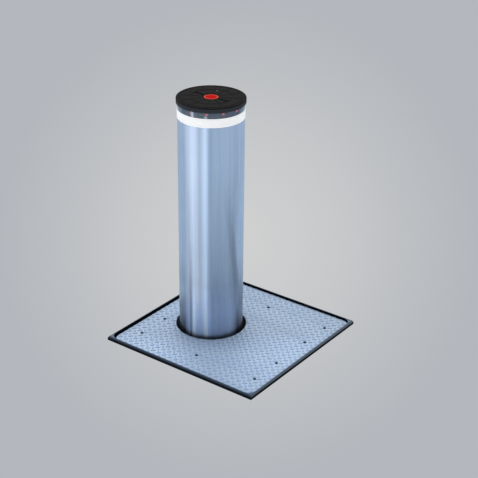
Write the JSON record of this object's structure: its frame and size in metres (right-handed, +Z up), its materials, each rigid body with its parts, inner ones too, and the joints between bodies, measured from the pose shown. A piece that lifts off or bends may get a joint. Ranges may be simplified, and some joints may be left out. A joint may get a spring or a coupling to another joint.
{
  "type": "retractable bollard",
  "caption": "Hydraulic rising bollard: a stainless post with a lit crown, in a tread-plate cover set flush in the paving, with its guide, ram and power pack in a cage below.",
  "frame": {"origin": "centre of the base plate's underside", "axes": "+Z up along the post; +X from the post towards the power pack; street level is at z = 1.350 m"},
  "size_m": [0.76, 0.76, 2.379],
  "materials": {
    "stainless": "vertically brushed stainless steel",
    "tread_steel": "galvanised tread plate, satin",
    "black_steel": "black paint, satin",
    "galvanised": "hot-dip galvanised, satin spangle",
    "machined": "zinc-plated and machined steel",
    "chrome": "hard chrome, ground",
    "cap_black": "black powder coat, matt",
    "plug_red": "red moulded plastic",
    "band_white": "white retroreflective film",
    "smoked_lens": "smoked translucent polycarbonate",
    "circuit": "solder-masked circuit board with red lamps",
    "rubber": "black rubber",
    "bearing": "natural cast polyamide",
    "cast_grey": "grey cast iron, primed",
    "motor_blue": "blue machine enamel",
    "tank_grey": "grey machine enamel",
    "box_grey": "light grey moulded plastic",
    "knob_red": "red moulded plastic",
    "cable_black": "black cable sheath",
    "sensor_orange": "orange moulded plastic"
  },
  "bodies": {
    "casing": {"top_frame": "black_steel", "cover_plate": "tread_steel", "cover_gasket": "rubber", "chassis": "galvanised", "base_plate": "galvanised", "guide_collar": "cast_grey", "guide_bush": "bearing", "wiper_seal": "rubber", "guide_rail_front": "galvanised", "guide_rail_back": "galvanised", "ram_foot": "cast_grey", "ram_barrel": "black_steel", "ram_gland": "machined", "buffer_ring": "rubber", "upper_sensor": "sensor_orange", "lower_sensor": "sensor_orange", "shelf": "galvanised", "oil_tank": "tank_grey", "pump_block": "cast_grey", "pump_housing": "cast_grey", "motor_housing": "motor_blue", "fan_cowl": "black_steel", "solenoid_valve": "black_steel", "filler_cap": "black_steel", "pressure_hose": "rubber", "junction_box": "box_grey", "junction_box_lid": "box_grey", "supply_cable": "cable_black", "lamp_cable": "cable_black", "coil_cable": "cable_black", "cover_screw_01": "machined", "cover_screw_02": "machined", "cover_screw_03": "machined", "cover_screw_04": "machined", "cover_screw_05": "machined", "cover_screw_06": "machined", "cover_screw_07": "machined", "cover_screw_08": "machined", "cover_screw_09": "machined", "cover_screw_10": "machined"},
    "post": {"ram_rod": "chrome", "ram_piston": "machined", "crown_plate": "galvanised", "rod_nut": "machined", "post_tube": "galvanised", "post_sleeve": "stainless", "reflective_band": "band_white", "light_ring": "smoked_lens", "led_board": "circuit", "cap": "cap_black", "cap_plug": "plug_red", "cap_bolt": "machined", "foot_flange": "galvanised", "sensor_magnet": "machined"},
    "front_roller": {"roller_front": "bearing"},
    "back_roller": {"roller_back": "bearing"},
    "rotor": {"motor_rotor": "machined", "drive_gear": "machined"},
    "idler": {"idler_gear": "machined"},
    "knob": {"release_knob": "knob_red"}
  },
  "joints": [
    {"name": "bollard_rise", "type": "slide", "parent": "casing", "child": "post", "axis": [0, 0, 1], "range_m": [-1.025, 0], "deforming": ["coil_cable"]},
    {"name": "front_roller_spin", "type": "hinge", "parent": "post", "child": "front_roller", "pos_m": [-0.1155, -0.199, 1.0634], "axis": [0, 1, 0], "range_deg": [-2900, 2900]},
    {"name": "back_roller_spin", "type": "hinge", "parent": "post", "child": "back_roller", "pos_m": [-0.1155, 0.199, 1.0634], "axis": [0, 1, 0], "range_deg": [-2900, 2900]},
    {"name": "motor_spin", "type": "hinge", "parent": "casing", "child": "rotor", "pos_m": [0.175, 0.06, 1], "axis": [0, 0, 1], "continuous": true},
    {"name": "idler_spin", "type": "hinge", "parent": "casing", "child": "idler", "pos_m": [0.205, 0.06, 0.85], "axis": [0, 0, 1], "continuous": true},
    {"name": "release_turn", "type": "hinge", "parent": "casing", "child": "knob", "pos_m": [0.246, -0.011, 0.93], "axis": [0, 0, 1], "range_deg": [0, 180]}
  ],
  "couplings": [
    {"joint": "front_roller_spin", "follows": "bollard_rise", "rad_per_m": 48.544},
    {"joint": "back_roller_spin", "follows": "bollard_rise", "rad_per_m": -48.544},
    {"joint": "idler_spin", "follows": "motor_spin", "ratio": -1}
  ]
}
